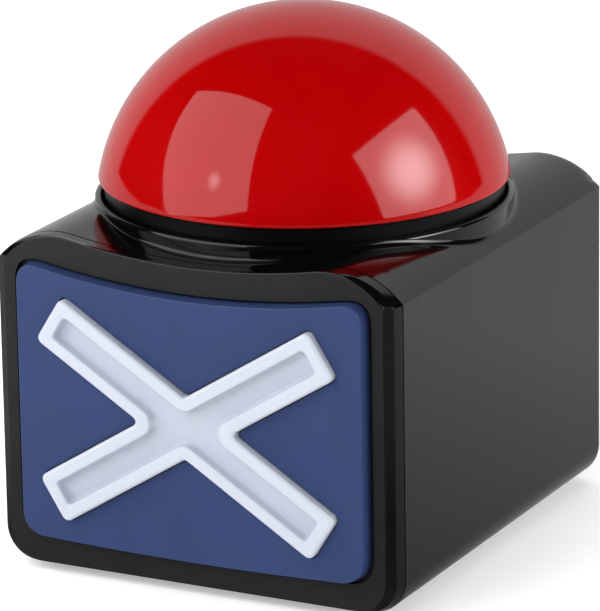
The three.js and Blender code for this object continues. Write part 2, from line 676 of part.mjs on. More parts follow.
place('upper_housing', upperHousing(), '#1b1b1d', 0.25);
place('front_bezel', frontBezel(), '#2b2c2e', 0.45);
place('front_panel', frontPanel(), '#37446f', 0.4);
place('cross_emblem', crossEmblem(), '#e6e9f2', 0.35);
placeEach('bezel_screw', bezelScrewPlaces().map(bezelScrew), ...STEEL);

place('dome_cap', domeCap(), '#c00712', 0.08);
place('dome_carrier', domeCarrier(), '#151515', 0.5);
placeEach('leg_screw', atLegs(legScrew), ...STEEL);
placeEach('return_spring', atLegs(returnSpring), ...SPRING_STEEL);
place('button_deck', buttonDeck(), '#202022', 0.6);
placeEach('deck_screw', atLugs(deckScrew), ...STEEL);
place('dome_led_board', ledBoard(), ...BOARD_GREEN);
placeEach('dome_led', LED_ANGLES.map(domeLed), '#e9e4e0', 0.15);
place('press_switch_body', pressSwitchBody(), '#101010', 0.5);
place('press_switch_plunger', pressSwitchPlunger(), '#d9d9d6', 0.45);

place('main_board', mainBoard(), ...BOARD_GREEN);
placeEach('board_screw', boardScrewPlaces().map(boardScrew), ...STEEL);
place('sound_chip', soundChip(), '#121214', 0.5);
place('capacitor', capacitor(), '#20263f', 0.35);
place('deck_lead', deckLead(), '#b3161b', 0.5);
place('speaker_lead', speakerLead(), '#161616', 0.5);
place('battery_lead', batteryLead(), '#b3161b', 0.5);

place('speaker_basket', speakerBasket(), '#8f9295', 0.4, 1);
place('speaker_magnet', speakerMagnet(), '#3b3c3f', 0.5, 1);
place('speaker_cone', speakerCone(), '#1c1b1a', 0.9);

place('base_plate', basePlate(), '#1d1d1f', 0.45);
place('battery_door', batteryDoor(), '#1d1d1f', 0.45);
place('door_screw', doorScrew(), ...STEEL);
[-1, 0, 1].forEach((row) => {
  const y = BATTERY_MIDDLE_Y + row * BATTERY_PITCH;
  const side = row === 0 ? -1 : 1;
  place(`battery_${row + 2}`, battery(y, side), '#2f3134', 0.3, 1);
  place(`battery_spring_${row + 2}`, batterySpring(y, side), ...SPRING_STEEL);
  place(`battery_contact_${row + 2}`, batteryContact(y, side), ...STEEL);
});
place('power_switch_body', powerSwitchBody(), '#8a8d90', 0.4, 1);
place('power_switch_knob', powerSwitchKnob(), '#0f0f10', 0.5);
placeEach('foot', atFeet(rubberFoot), '#101010', 0.9);
placeEach('base_screw', atPillars(baseScrew), ...STEEL);

export default buzzer;
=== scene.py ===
import math

import bmesh
import bpy
import numpy as np
from mathutils import Matrix, Vector


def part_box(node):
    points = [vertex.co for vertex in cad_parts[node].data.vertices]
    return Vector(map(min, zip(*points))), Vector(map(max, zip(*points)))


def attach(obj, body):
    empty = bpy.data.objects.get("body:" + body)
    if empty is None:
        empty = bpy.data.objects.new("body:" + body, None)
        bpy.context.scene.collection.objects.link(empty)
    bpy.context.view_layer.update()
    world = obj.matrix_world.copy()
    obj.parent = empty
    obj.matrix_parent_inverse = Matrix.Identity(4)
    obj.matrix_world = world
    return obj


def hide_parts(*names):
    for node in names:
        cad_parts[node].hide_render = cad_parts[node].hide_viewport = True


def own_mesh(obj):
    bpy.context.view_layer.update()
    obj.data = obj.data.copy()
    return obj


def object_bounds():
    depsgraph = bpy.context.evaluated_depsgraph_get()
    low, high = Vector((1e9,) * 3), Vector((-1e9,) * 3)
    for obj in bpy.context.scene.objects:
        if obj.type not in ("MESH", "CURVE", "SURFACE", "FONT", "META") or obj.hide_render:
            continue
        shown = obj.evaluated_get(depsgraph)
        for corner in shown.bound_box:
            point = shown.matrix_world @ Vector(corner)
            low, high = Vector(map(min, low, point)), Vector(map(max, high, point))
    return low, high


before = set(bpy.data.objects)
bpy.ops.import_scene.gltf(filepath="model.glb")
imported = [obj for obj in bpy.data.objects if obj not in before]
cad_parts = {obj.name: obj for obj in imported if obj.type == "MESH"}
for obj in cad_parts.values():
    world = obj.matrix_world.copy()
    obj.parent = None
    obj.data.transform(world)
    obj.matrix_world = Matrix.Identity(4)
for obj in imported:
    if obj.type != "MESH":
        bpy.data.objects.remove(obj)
cad_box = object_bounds()

# ---------------------------------------------------------------- sizes, in millimetres
# Local millimetres: X across, Y from the dome's axis towards the rear, Z up from the underside of the case.

MM = 0.001
dome_low, dome_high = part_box("dome_cap")
case_low, case_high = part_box("upper_housing")
bezel_low, bezel_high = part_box("front_bezel")
panel_low, panel_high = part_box("front_panel")
emblem_low, emblem_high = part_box("cross_emblem")
AXIS_Y = (dome_low[1] + dome_high[1]) / 2
FLOOR_Z = case_low[2]


def local(corner):
    """A point of the frame, in metres, as local millimetres."""
    return corner[0] / MM, (corner[1] - AXIS_Y) / MM, (corner[2] - FLOOR_Z) / MM


def at(x, y, z):
    """Local millimetres as a point of the frame, in metres."""
    return Vector((x * MM, AXIS_Y + y * MM, FLOOR_Z + z * MM))


HALF_WIDTH = local(case_high)[0]
HOUSING_FRONT = local(case_low)[1]
HOUSING_REAR = local(case_high)[1]
COLLAR_TOP = local(case_high)[2]
BEZEL_FRONT = local(bezel_low)[1]
BEZEL_BACK = local(bezel_high)[1]
PANEL_FRONT = local(panel_low)[1]
EMBLEM_FRONT = local(emblem_low)[1]
PANEL_HALF = local(panel_high)[0]
DOME_BASE = local(dome_low)[2]
DOME_TOP = local(dome_high)[2]

BOTTOM_RADIUS = 7
SHOULDER_RADIUS = 17
SHOULDER_X = 31.6
SHOULDER_Z = 52.75
VALLEY_SLOPE = 0.179
REAR_ROUNDING = 3
CHAMFER_DEPTH = 1.1
BEZEL_EDGE = (88.2, 0.5)
BEZEL_FACE = (84.8, 0.8)
PANEL_BOTTOM = 6.05
PANEL_BOTTOM_RISE = 0.9
PANEL_TOP = 60.95
PANEL_TOP_RISE = 4.2
PANEL_RADIUS = 5.5
POCKET_DEPTH = 1.5
POCKET_GAP_SIDE = 0.9
POCKET_GAP_TOP = 0.35
CROSS_Z = 34.85
CROSS_ANGLE = math.radians(32)
CROSS_ARM = 35.8
CROSS_HALF_WIDTH = 5.4
TROUGH_INSET = 2.1
TROUGH_DEPTH = 2.0
COLLAR_OUTER = 42.8
COLLAR_INNER = 41.3
COLLAR_FOOT = 57.7
COLLAR_FILLET = 0.9
DOME_RADIUS = 42.8
DOME_WALL = 2.2
SKIRT_RADIUS = 40.8
SKIRT_ABOVE_LEGS = 13
LEAN = math.atan(VALLEY_SLOPE)
JOIN_X = SHOULDER_X - SHOULDER_RADIUS * math.sin(LEAN)


# ---------------------------------------------------------------- mesh helpers


class Shell:
    """Collects faces, given in local millimetres, and turns them into one smooth-shaded piece."""

    def __init__(self):
        self.mesh = bmesh.new()

    def loop(self, points):
        return [self.mesh.verts.new(at(*point)) for point in points]

    def bridge(self, first, second, closed=True):
        count = len(first)
        for index in range(count if closed else count - 1):
            after = (index + 1) % count
            self.mesh.faces.new((first[index], first[after], second[after], second[index]))

    def loft(self, loops, closed=True):
        """Bridges a row of point loops and returns their vertices."""
        made = [self.loop(points) for points in loops]
        for first, second in zip(made, made[1:]):
            self.bridge(first, second, closed)
        return made

    def cap(self, loop):
        self.mesh.faces.new(loop)

    def ring(self, *loops):
        """Fills the flat area between an outer loop and the loops inside it."""
        edges = []
        for loop in loops:
            for index, vert in enumerate(loop):
                other = loop[(index + 1) % len(loop)]
                edge = self.mesh.edges.get((vert, other))
                edges.append(edge or self.mesh.edges.new((vert, other)))
        bmesh.ops.triangle_fill(self.mesh, use_beauty=True, use_dissolve=False, edges=edges)

    def turned(self, profile, put=None, sides=96):
        """Turns a profile of (radius, height) pairs about an axis; a radius of 0 closes in a point."""
        put = put or along_z(0, 0)
        angles = np.linspace(0, 2 * math.pi, sides, endpoint=False)
        rows = []
        for radius, height in profile:
            around = angles if radius else [0]
            rows.append(self.loop([put(radius * math.cos(a), radius * math.sin(a), height) for a in around]))
            if len(rows) > 1:
                self.join_rows(rows[-2], rows[-1])
        return rows

    def join_rows(self, first, second):
        if len(first) == len(second):
            self.bridge(first, second)
            return
        point, row = (first[0], second) if len(first) == 1 else (second[0], first)
        for index, vert in enumerate(row):
            self.mesh.faces.new((vert, row[(index + 1) % len(row)], point))

    def sweep(self, path, radius, sides=8):
        """Sweeps a round wire along points in local millimetres."""
        points = [Vector(point) for point in path]
        side = Vector((0.31, 0.47, 0.83))
        rows = []
        for index, point in enumerate(points):
            ahead = (points[min(index + 1, len(points) - 1)] - points[max(index - 1, 0)]).normalized()
            side = (side - ahead * side.dot(ahead)).normalized()
            other = ahead.cross(side)
            turn = [2 * math.pi * step / sides for step in range(sides)]
            rows.append(self.loop([point + (side * math.cos(a) + other * math.sin(a)) * radius for a in turn]))
        for first, second in zip(rows, rows[1:]):
            self.bridge(first, second)
        self.cap(rows[0])
        self.cap(rows[-1])

    def finish(self, name, body, materials, replaces=(), sharp=32, pick=None):
        bmesh.ops.remove_doubles(self.mesh, verts=self.mesh.verts, dist=1e-6)
        bmesh.ops.recalc_face_normals(self.mesh, faces=self.mesh.faces)
        data = bpy.data.meshes.new(name)
        self.mesh.to_mesh(data)
        self.mesh.free()
        return add_piece(name, data, body, materials, replaces, sharp, pick)


def add_piece(name, data, body, materials, replaces, sharp, pick):
    """Materials is one material, or a list that pick(polygon) chooses from."""
    piece = bpy.data.objects.new(name, data)
    bpy.context.scene.collection.objects.link(piece)
    for material in materials if pick else [materials]:
        data.materials.append(material)
    if pick:
        for polygon in data.polygons:
            polygon.material_index = pick(polygon)
    data.polygons.foreach_set("use_smooth", [True] * len(data.polygons))
    data.set_sharp_from_angle(angle=math.radians(sharp))
    weighted = piece.modifiers.new("weighted_normals", "WEIGHTED_NORMAL")
    weighted.keep_sharp = True
    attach(piece, body)
    if replaces:
        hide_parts(*replaces)
    return piece


def along_z(x, y, start=0, up=1):
    """Maps (u, v, w) in a turned piece's own axes to local millimetres, with w along Z from start."""
    return lambda u, v, w: (x + u, y + v, start + up * w)


def along_x(y, z, side=1):
    return lambda u, v, w: (side * w, y + u, z + v)


def along_minus_y(x, z, start):
    return lambda u, v, w: (x + u, start - w, z + v)


def arc(centre_x, centre_z, radius, start, end, steps):
    angles = np.linspace(start, end, steps + 1)
    return [(centre_x + radius * math.cos(a), centre_z + radius * math.sin(a)) for a in angles]


def quarter_steps(count):
    """Angles from 0 to a right angle."""
    return np.linspace(0, math.pi / 2, count + 1)


# ---------------------------------------------------------------- outlines in X and Z


def crease_angle(inset):
    return math.acos((HALF_WIDTH - inset - SHOULDER_X) / (SHOULDER_RADIUS - inset))


def top_point(x, inset=0):
    """The case's top edge at inset 0, moved inwards: the crease stays on the mitre with the side."""
    radius = SHOULDER_RADIUS - inset
    join_x = SHOULDER_X - radius * math.sin(LEAN)
    join_z = SHOULDER_Z + radius * math.cos(LEAN)
    side = math.copysign(1, x)
    reach = abs(x)
    if reach < JOIN_X:
        inner_x = reach * join_x / JOIN_X
        return side * inner_x, join_z - VALLEY_SLOPE / (2 * join_x) * (join_x**2 - inner_x**2)
    upright = math.pi / 2 + LEAN
    angle = math.acos(min(1, max(-1, (reach - SHOULDER_X) / SHOULDER_RADIUS)))
    share = (upright - angle) / (upright - crease_angle(0))
    angle = upright + share * (crease_angle(inset) - upright)
    return side * (SHOULDER_X + radius * math.cos(angle)), SHOULDER_Z + radius * math.sin(angle)


def lower_outline(inset=0):
    """From the left crease down, under the case and up to the right crease."""
    corner_x = HALF_WIDTH - BOTTOM_RADIUS
    radius = BOTTOM_RADIUS - inset
    left = [top_point(-HALF_WIDTH, inset)] + arc(-corner_x, BOTTOM_RADIUS, radius, math.pi, 1.5 * math.pi, 12)
    right = arc(corner_x, BOTTOM_RADIUS, radius, -math.pi / 2, 0, 12) + [top_point(HALF_WIDTH, inset)]
    return left + right


def body_outline(inset=0, steps=72):
    across = [HALF_WIDTH * (1 - 2 * step / steps) for step in range(1, steps)]
    return lower_outline(inset) + [top_point(x, inset) for x in across]


def bow(x0, x1, z_mid, rise, side, steps=24):
    """Points along z = z_mid + rise * (x / side)^2."""
    return [(x, z_mid + rise * (x / side) ** 2) for x in np.linspace(x0, x1, steps + 1)]


def corner_curve(start, pull, end, steps=10):
    """A quadratic curve without its end points."""
    points = []
    for step in range(1, steps):
        t = step / steps
        weights = ((1 - t) ** 2, 2 * t * (1 - t), t * t)
        points.append(tuple(sum(w * p[k] for w, p in zip(weights, (start, pull, end))) for k in (0, 1)))
    return points


def panel_outline(grow=0, side_grow=None):
    side = PANEL_HALF + (grow if side_grow is None else side_grow)
    radius = PANEL_RADIUS + grow
    inner = side - radius
    bottom = bow(-inner, inner, PANEL_BOTTOM - grow, PANEL_BOTTOM_RISE, side)
    top = bow(inner, -inner, PANEL_TOP + grow, PANEL_TOP_RISE, side)
    low = PANEL_BOTTOM - grow + PANEL_BOTTOM_RISE
    high = PANEL_TOP + grow + PANEL_TOP_RISE
    right = (
        corner_curve(bottom[-1], (side, low), (side, low + radius))
        + [(side, low + radius), (side, high - radius)]
        + corner_curve((side, high - radius), (side, high), top[0])
    )
    left = (
        corner_curve(top[-1], (-side, high), (-side, high - radius))
        + [(-side, high - radius), (-side, low + radius)]
        + corner_curve((-side, low + radius), (-side, low), bottom[0])
    )
    return bottom + right + top + left


def rounded_outline(corners, radii, steps=8):
    """A closed outline whose corners are arcs that touch both of their edges."""
    points = []
    for index, corner in enumerate(corners):
        corner = Vector(corner)
        back = (Vector(corners[index - 1]) - corner).normalized()
        ahead = (Vector(corners[(index + 1) % len(corners)]) - corner).normalized()
        half = back.angle(ahead) / 2
        centre = corner + (back + ahead).normalized() * (radii[index] / math.sin(half))
        reach = radii[index] / math.tan(half)
        start = corner + back * reach - centre
        sweep = start.angle_signed(corner + ahead * reach - centre)
        for step in range(steps + 1):
            angle = -sweep * step / steps
            turned = Matrix.Rotation(angle, 2) @ start
            points.append(tuple(centre + turned))
    return points


def cross_outline(width, reach, end_radius, crotch_radius):
    """Four square-ended arms; width is half an arm's width and reach its length from the middle."""
    crotch_x = width / math.sin(CROSS_ANGLE)
    crotch_z = width / math.cos(CROSS_ANGLE)
    end_x = reach * math.cos(CROSS_ANGLE)
    end_z = reach * math.sin(CROSS_ANGLE)
    across_x = width * math.sin(CROSS_ANGLE)
    across_z = width * math.cos(CROSS_ANGLE)
    corners = []
    for sign_x, sign_z in ((1, 1), (-1, 1), (-1, -1), (1, -1)):
        low = (sign_x * (end_x + across_x), CROSS_Z + sign_z * (end_z - across_z))
        high = (sign_x * (end_x - across_x), CROSS_Z + sign_z * (end_z + across_z))
        if sign_x * sign_z > 0:
            corners += [(sign_x * crotch_x, CROSS_Z), low, high, (0, CROSS_Z + sign_z * crotch_z)]
        else:
            corners += [high, low]
    radii = [crotch_radius, end_radius, end_radius, crotch_radius, end_radius, end_radius] * 2
    return rounded_outline(corners, radii)


def upright(outline, y):
    """An outline in X and Z, stood up at one Y."""
    return [(x, y, z) for x, z in outline]


# ---------------------------------------------------------------- materials


def new_material(name):
    material = bpy.data.materials.new(name)
    material.use_nodes = True
    return material, material.node_tree.nodes, material.node_tree.links, material.node_tree.nodes["Principled BSDF"]


def surface(
    name, color, roughness, metallic=0.0, mottle=0.12, mottle_size=9.0, rough_spread=0.08,
    grain=0.0, grain_size=0.25, coat=0.0, specular=0.5, subsurface=0.0,
):
    """Moulded plastic or metal: soft colour and gloss variation, and a fine grain in the normal."""
    material, nodes, links, shader = new_material(name)
    shader.inputs["Metallic"].default_value = metallic
    shader.inputs["Coat Weight"].default_value = coat
    shader.inputs["Coat Roughness"].default_value = 0.04
    shader.inputs["Specular IOR Level"].default_value = specular
    if subsurface:
        shader.inputs["Subsurface Weight"].default_value = subsurface
        shader.inputs["Subsurface Radius"].default_value = (0.004, 0.003, 0.003)
        shader.inputs["Subsurface Scale"].default_value = 1.0
    place = nodes.new("ShaderNodeTexCoord")
    cloud = nodes.new("ShaderNodeTexNoise")
    cloud.inputs["Scale"].default_value = 1 / (mottle_size * MM)
    cloud.inputs["Detail"].default_value = 5
    cloud.inputs["Roughness"].default_value = 0.6
    links.new(place.outputs["Object"], cloud.inputs["Vector"])
    tint = nodes.new("ShaderNodeValToRGB")
    tint.color_ramp.elements[0].position = 0.3
    tint.color_ramp.elements[1].position = 0.7
    tint.color_ramp.elements[0].color = (*[c * (1 - mottle) for c in color], 1)
    tint.color_ramp.elements[1].color = (*[min(1, c * (1 + mottle)) for c in color], 1)
    links.new(cloud.outputs["Fac"], tint.inputs["Fac"])
    links.new(tint.outputs["Color"], shader.inputs["Base Color"])
    smudge = nodes.new("ShaderNodeTexNoise")
    smudge.inputs["Scale"].default_value = 1 / (2.6 * mottle_size * MM)
    smudge.inputs["Detail"].default_value = 2
    smudge.inputs["Roughness"].default_value = 0.5
    links.new(place.outputs["Object"], smudge.inputs["Vector"])
    spread = nodes.new("ShaderNodeMapRange")
    spread.inputs["From Min"].default_value = 0.3
    spread.inputs["From Max"].default_value = 0.7
    spread.inputs["To Min"].default_value = max(0.02, roughness - rough_spread)
    spread.inputs["To Max"].default_value = roughness + rough_spread
    links.new(smudge.outputs["Fac"], spread.inputs["Value"])
    links.new(spread.outputs["Result"], shader.inputs["Roughness"])
    if grain:
        fine = nodes.new("ShaderNodeTexNoise")
        fine.inputs["Scale"].default_value = 1 / (grain_size * MM)
        fine.inputs["Detail"].default_value = 3
        links.new(place.outputs["Object"], fine.inputs["Vector"])
        bump = nodes.new("ShaderNodeBump")
        bump.inputs["Strength"].default_value = grain
        bump.inputs["Distance"].default_value = 0.02 * MM
        links.new(fine.outputs["Fac"], bump.inputs["Height"])
        links.new(bump.outputs["Normal"], shader.inputs["Normal"])
    return material


gloss_black = surface("gloss_black_abs", (0.002, 0.002, 0.002), 0.09, rough_spread=0.035, grain=0.06, grain_size=0.6)
satin_black = surface("satin_black_abs", (0.012, 0.012, 0.013), 0.36, rough_spread=0.05, grain=0.5)
panel_blue = surface(
    "panel_blue_abs", (0.031, 0.051, 0.142), 0.3, mottle=0.04, rough_spread=0.04, grain=0.12, specular=0.25,
)
cross_white = surface("cross_white_abs", (0.55, 0.585, 0.67), 0.35, mottle=0.015, grain=0.1, subsurface=0.03)
# The trough's white is darker than the rim's: painted shade, standing in for the shade in the recessed trough.
trough_painted_shade = surface("trough_painted_shade_abs", (0.47, 0.5, 0.585), 0.5, mottle=0.02, grain=0.2)
dome_red = surface("dome_red_styrene", (0.38, 0.0003, 0.0008), 0.06, mottle=0.03, rough_spread=0.02, mottle_size=14)
inner_black = surface("inner_black_abs", (0.001, 0.001, 0.001), 0.4, grain=0.3, specular=0.2)
steel = surface("zinc_plated_steel", (0.52, 0.53, 0.55), 0.32, metallic=1, grain=0.3)
spring_steel = surface("spring_steel", (0.6, 0.61, 0.63), 0.2, metallic=1)
rubber = surface("foot_rubber", (0.012, 0.012, 0.012), 0.75, mottle=0.25, grain=0.8)
board_green = surface("board_solder_mask", (0.008, 0.11, 0.035), 0.35, mottle=0.35, mottle_size=2.2)
clear_led = surface("led_lens", (0.8, 0.79, 0.76), 0.08, mottle=0.05, coat=1)
white_acetal = surface("white_acetal", (0.7, 0.7, 0.67), 0.4, grain=0.2)
cell_black = surface("cell_sleeve_black", (0.02, 0.021, 0.025), 0.25, metallic=0.3)
cell_gold = surface("cell_sleeve_gold", (0.55, 0.3, 0.07), 0.25, metallic=0.9)
capacitor_blue = surface("capacitor_sleeve", (0.02, 0.03, 0.12), 0.3)
speaker_steel = surface("speaker_steel", (0.34, 0.35, 0.37), 0.4, metallic=1, grain=0.2)
magnet_grey = surface("ferrite", (0.05, 0.05, 0.055), 0.6, grain=0.5)
paper_cone = surface("cone_paper", (0.02, 0.018, 0.016), 0.85, mottle=0.4, grain=1.0, grain_size=0.5)
lead_red = surface("lead_red_pvc", (0.5, 0.012, 0.014), 0.4)
lead_black = surface("lead_black_pvc", (0.012, 0.012, 0.012), 0.4)


# ---------------------------------------------------------------- camera, light and floor


def add_camera():
    """A long lens in front and to the right of the buzzer, a little above it and rolled by under a degree."""
    azimuth, elevation, roll = map(math.radians, (27.27, 16.84, -0.92))
    back = Vector((
        math.sin(azimuth) * math.cos(elevation), -math.cos(azimuth) * math.cos(elevation), math.sin(elevation),
    ))
    right = Vector((0, 0, 1)).cross(back).normalized()
    up = back.cross(right)
    data = bpy.data.cameras.new("camera")
    data.lens = 305.4
    data.clip_end = 50
    camera = bpy.data.objects.new("camera", data)
    bpy.context.scene.collection.objects.link(camera)
    camera.location = at(0, 0, 59.2) + (back * 1060.6 - right * 1.35 - up * 13.1) * MM
    turned_right = right * math.cos(roll) + up * math.sin(roll)
    turned_up = up * math.cos(roll) - right * math.sin(roll)
    camera.rotation_euler = Matrix((turned_right, turned_up, back)).transposed().to_euler()
    bpy.context.scene.camera = camera


def add_softbox(name, azimuth, elevation, distance, shift, size, roll, watts, core=None, seen="both"):
    """A rectangular light that faces the dome; azimuth 0 is in front and 90 to the right, in degrees."""
    a, e = math.radians(azimuth), math.radians(elevation)
    out = Vector((math.sin(a) * math.cos(e), -math.cos(a) * math.cos(e), math.sin(e)))
    right = Vector((0, 0, 1)).cross(out).normalized()
    up = out.cross(right)
    data = bpy.data.lights.new(name, "AREA")
    data.shape = "RECTANGLE"
    data.size, data.size_y = size
    data.energy = watts
    light = bpy.data.objects.new(name, data)
    bpy.context.scene.collection.objects.link(light)
    light.location = at(0, 0, 66.3) + out * distance + right * shift[0] + up * shift[1]
    turn = Matrix((right, up, out)).transposed() @ Matrix.Rotation(math.radians(roll), 3, "Z")
    light.rotation_euler = turn.to_euler()
    light.visible_glossy = seen != "diffuse"
    light.visible_diffuse = seen != "gloss"
    if core:
        brighten_core(data, *core)


def brighten_core(data, centre, reach, core):
    """Makes a softbox brighter round one point, as its lamp shows through the cloth."""
    data.use_nodes = True
    nodes, links = data.node_tree.nodes, data.node_tree.links
    place = nodes.new("ShaderNodeNewGeometry")
    centred = nodes.new("ShaderNodeVectorMath")
    centred.operation = "SUBTRACT"
    centred.inputs[1].default_value = (*centre, 0)
    length = nodes.new("ShaderNodeVectorMath")
    length.operation = "LENGTH"
    glow = nodes.new("ShaderNodeMapRange")
    glow.interpolation_type = "SMOOTHERSTEP"
    glow.inputs["From Min"].default_value = reach
    glow.inputs["From Max"].default_value = 0.0
    glow.inputs["To Min"].default_value = 1
    glow.inputs["To Max"].default_value = core
    links.new(place.outputs["Parametric"], centred.inputs[0])
    links.new(centred.outputs["Vector"], length.inputs[0])
    links.new(length.outputs["Value"], glow.inputs["Value"])
    links.new(glow.outputs["Result"], nodes["Emission"].inputs["Strength"])


def add_world():
    """A white backdrop behind the buzzer and a dark studio in front; the camera sees white all round."""
    world = bpy.data.worlds.new("studio")
    bpy.context.scene.world = world
    world.use_nodes = True
    nodes, links = world.node_tree.nodes, world.node_tree.links
    place = nodes.new("ShaderNodeTexCoord")
    towards = nodes.new("ShaderNodeVectorMath")
    towards.operation = "DOT_PRODUCT"
    towards.inputs[1].default_value = Vector((-0.35, 0.93, 0.0)).normalized()
    edge = nodes.new("ShaderNodeMapRange")
    edge.inputs["From Min"].default_value = 0.52
    edge.inputs["From Max"].default_value = 0.58
    edge.inputs["To Min"].default_value = 0.012
    edge.inputs["To Max"].default_value = 0.63
    seen = nodes.new("ShaderNodeLightPath")
    strongest = nodes.new("ShaderNodeMath")
    strongest.operation = "MAXIMUM"
    background = nodes["Background"]
    background.inputs["Color"].default_value = (1, 1, 1, 1)
    links.new(place.outputs["Generated"], towards.inputs[0])
    links.new(towards.outputs["Value"], edge.inputs["Value"])
    links.new(edge.outputs["Result"], strongest.inputs[0])
    links.new(seen.outputs["Is Camera Ray"], strongest.inputs[1])
    links.new(strongest.outputs["Value"], background.inputs["Strength"])


def add_floor():
    """A plain white table that glows, more away from the buzzer; gloss on the buzzer sees a painted reflection
    instead, a glow that darkens towards the front, as in a tent lit from behind, and brightens to the sides.
    """
    material, nodes, links, shader = new_material("pale_floor")
    shader.inputs["Base Color"].default_value = (0.93, 0.93, 0.93, 1)
    shader.inputs["Roughness"].default_value = 0.9
    shader.inputs["Specular IOR Level"].default_value = 0
    shader.inputs["Emission Color"].default_value = (1, 1, 1, 1)
    place = nodes.new("ShaderNodeNewGeometry")
    split = nodes.new("ShaderNodeSeparateXYZ")
    links.new(place.outputs["Position"], split.inputs["Vector"])
    seen = nodes.new("ShaderNodeLightPath")
    away = nodes.new("ShaderNodeVectorMath")
    away.operation = "LENGTH"
    links.new(place.outputs["Position"], away.inputs[0])
    far = nodes.new("ShaderNodeMapRange")
    for socket, value in (("From Min", 0.25), ("From Max", 0.6), ("To Min", 0.35), ("To Max", 1)):
        far.inputs[socket].default_value = value
    links.new(away.outputs["Value"], far.inputs["Value"])
    glow = nodes.new("ShaderNodeMix")
    glow.inputs["A"].default_value = 0.35
    links.new(seen.outputs["Is Camera Ray"], glow.inputs["Factor"])
    links.new(far.outputs["Result"], glow.inputs["B"])
    links.new(glow.outputs["Result"], shader.inputs["Emission Strength"])

    def fade(axis, start, end, low, high):
        """Brightness that goes from low to high along one axis, in metres."""
        node = nodes.new("ShaderNodeMapRange")
        for socket, value in (("From Min", start), ("From Max", end), ("To Min", low), ("To Max", high)):
            node.inputs[socket].default_value = value
        links.new(split.outputs[axis], node.inputs["Value"])
        return node.outputs["Result"]

    def strongest(first, second):
        node = nodes.new("ShaderNodeMath")
        node.operation = "MAXIMUM"
        links.new(first, node.inputs[0])
        links.new(second, node.inputs[1])
        return node.outputs["Value"]

    # Painted reflection: the glow that gloss sees, brighter to the left and right of the buzzer and towards the rear.
    sides = strongest(fade("X", -0.02, -0.14, 0, 0.62), fade("X", 0.05, 0.11, 0, 0.25))
    painted_reflection = nodes.new("ShaderNodeEmission")
    links.new(strongest(fade("Y", -0.12, 0.14, 0.04, 0.6), sides), painted_reflection.inputs["Strength"])
    mix = nodes.new("ShaderNodeMixShader")
    links.new(seen.outputs["Is Glossy Ray"], mix.inputs["Fac"])
    links.new(shader.outputs["BSDF"], mix.inputs[1])
    links.new(painted_reflection.outputs["Emission"], mix.inputs[2])
    links.new(mix.outputs["Shader"], nodes["Material Output"].inputs["Surface"])
    data = bpy.data.meshes.new("floor")
    data.from_pydata([(-6, -6, 0), (6, -6, 0), (6, 6, 0), (-6, 6, 0)], [], [(0, 1, 2, 3)])
    data.materials.append(material)
    floor = bpy.data.objects.new("floor", data)
    bpy.context.scene.collection.objects.link(floor)
    floor.location.z = cad_box[0][2] - 0.0002


bpy.context.scene.view_settings.view_transform = "Standard"
add_camera()
add_world()
add_floor()
add_softbox("softbox_left", -40, 28, 1.0, (0.01, 0.13), (1.0, 1.2), 23, 6.9, core=((0.6, 0.28), 0.1, 3))
add_softbox(
    "softbox_right", 95, 28, 1.0, (-0.03, -0.08), (0.95, 0.8), 0, 5.8, core=((0.5, 0.5), 0.5, 4), seen="gloss",
)
add_softbox("front_fill", 5, 40, 1.4, (0, 0), (1.6, 1.6), 0, 11, seen="diffuse")
add_softbox("rim_left", -75, 15, 1.2, (0, 0), (1.0, 1.0), 0, 7, seen="diffuse")
add_softbox("rim_right", 105, 10, 1.2, (0, 0), (1.0, 1.0), 0, 17, seen="diffuse")
add_softbox("rim_top", -153, 50, 1.2, (0, 0), (1.0, 1.0), 0, 5, seen="diffuse")


# ---------------------------------------------------------------- case


def rear_rounding(count=8):
    """(inset, y) pairs over the rounded rear edge."""
    start = HOUSING_REAR - REAR_ROUNDING
    return [(REAR_ROUNDING * (1 - math.cos(a)), start + REAR_ROUNDING * math.sin(a)) for a in quarter_steps(count)]


def over_rear(x, run):
    """The point of the case's top surface at x, `run` millimetres along from the collar's axis."""
    start = HOUSING_REAR - REAR_ROUNDING
    angle = max(0, (run - start) / REAR_ROUNDING)
    inset = REAR_ROUNDING * (1 - math.cos(angle))
    edge_x, edge_z = top_point(x, inset)
    return edge_x, run if angle == 0 else start + REAR_ROUNDING * math.sin(angle), edge_z


def top_rays(steps=288):
    """Angles round the collar, with one through each corner of the top."""
    run_end = HOUSING_REAR - REAR_ROUNDING + REAR_ROUNDING * math.pi / 2
    corners = [math.atan2(y, x) for y in (HOUSING_FRONT, run_end) for x in (-HALF_WIDTH, HALF_WIDTH)]
    even = [step * 2 * math.pi / steps - math.pi for step in range(steps)]
    spaced = [a for a in even if min(abs(a - c) for c in corners) > math.pi / steps / 2]
    return sorted(spaced + corners), run_end


def case_top(shell):
    angles, run_end = top_rays()
    rings = []
    for a in quarter_steps(8):
        radius = COLLAR_OUTER + COLLAR_FILLET * (1 - math.cos(a))
        lift = COLLAR_FILLET * (1 - math.sin(a))
        ring = []
        for angle in angles:
            x, y, z = over_rear(radius * math.cos(angle), radius * math.sin(angle))
            ring.append((x, y, z + lift))
        rings.append(ring)
    radial_steps = 16
    for step in range(1, radial_steps + 1):
        ring = []
        for angle in angles:
            c, s = math.cos(angle), math.sin(angle)
            limit_x = HALF_WIDTH / abs(c) if abs(c) > 1e-9 else math.inf
            limit_y = (run_end if s > 0 else -HOUSING_FRONT) / abs(s) if abs(s) > 1e-9 else math.inf
            start = COLLAR_OUTER + COLLAR_FILLET
            radius = start + (min(limit_x, limit_y) - start) * step / radial_steps
            ring.append(over_rear(radius * c, radius * s))
        rings.append(ring)
    lip = 0.75
    middle = (COLLAR_OUTER + COLLAR_INNER) / 2
    rim = arc(middle, COLLAR_TOP - lip, lip, math.pi, 0, 12)
    profile = [(COLLAR_INNER, COLLAR_FOOT)] + rim
    collar = [[(r * math.cos(a), r * math.sin(a), z) for a in angles] for r, z in profile]
    made = shell.loft(collar + rings)
    return made[-1]


